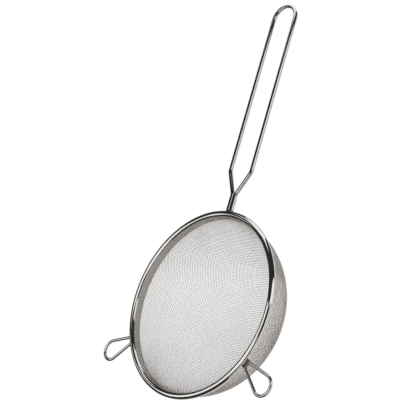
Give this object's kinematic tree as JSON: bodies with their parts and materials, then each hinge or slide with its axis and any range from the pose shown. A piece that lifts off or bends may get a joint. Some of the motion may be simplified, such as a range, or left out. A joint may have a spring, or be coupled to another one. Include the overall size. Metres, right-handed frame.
{
  "type": "kitchen sieve",
  "caption": "Round kitchen sieve: a deep woven wire bowl in a rolled steel rim, with a long wire loop handle and teardrop wire ears that rest on the edge of a pot.",
  "frame": {"origin": "centre of the rim, in the middle plane of its rolled bead", "axes": "+Z points out of the bowl's mouth, +X runs along the handle, the left ear lies on the +Y side"},
  "size_m": [0.3907, 0.2278, 0.0765],
  "materials": {
    "woven_steel": "fine woven stainless wire, bright",
    "polished_steel": "polished stainless sheet",
    "drawn_steel": "polished drawn stainless wire",
    "weld_steel": "dull grey weld metal"
  },
  "bodies": {
    "root": {"mesh_bowl": "woven_steel", "rim_band": "polished_steel", "rim_core_wire": "drawn_steel", "rim_seam_weld": "weld_steel", "handle_wire": "drawn_steel", "handle_weld": "weld_steel", "left_ear": "drawn_steel", "left_ear_weld": "weld_steel", "right_ear": "drawn_steel", "right_ear_weld": "weld_steel"}
  },
  "joints": []
}
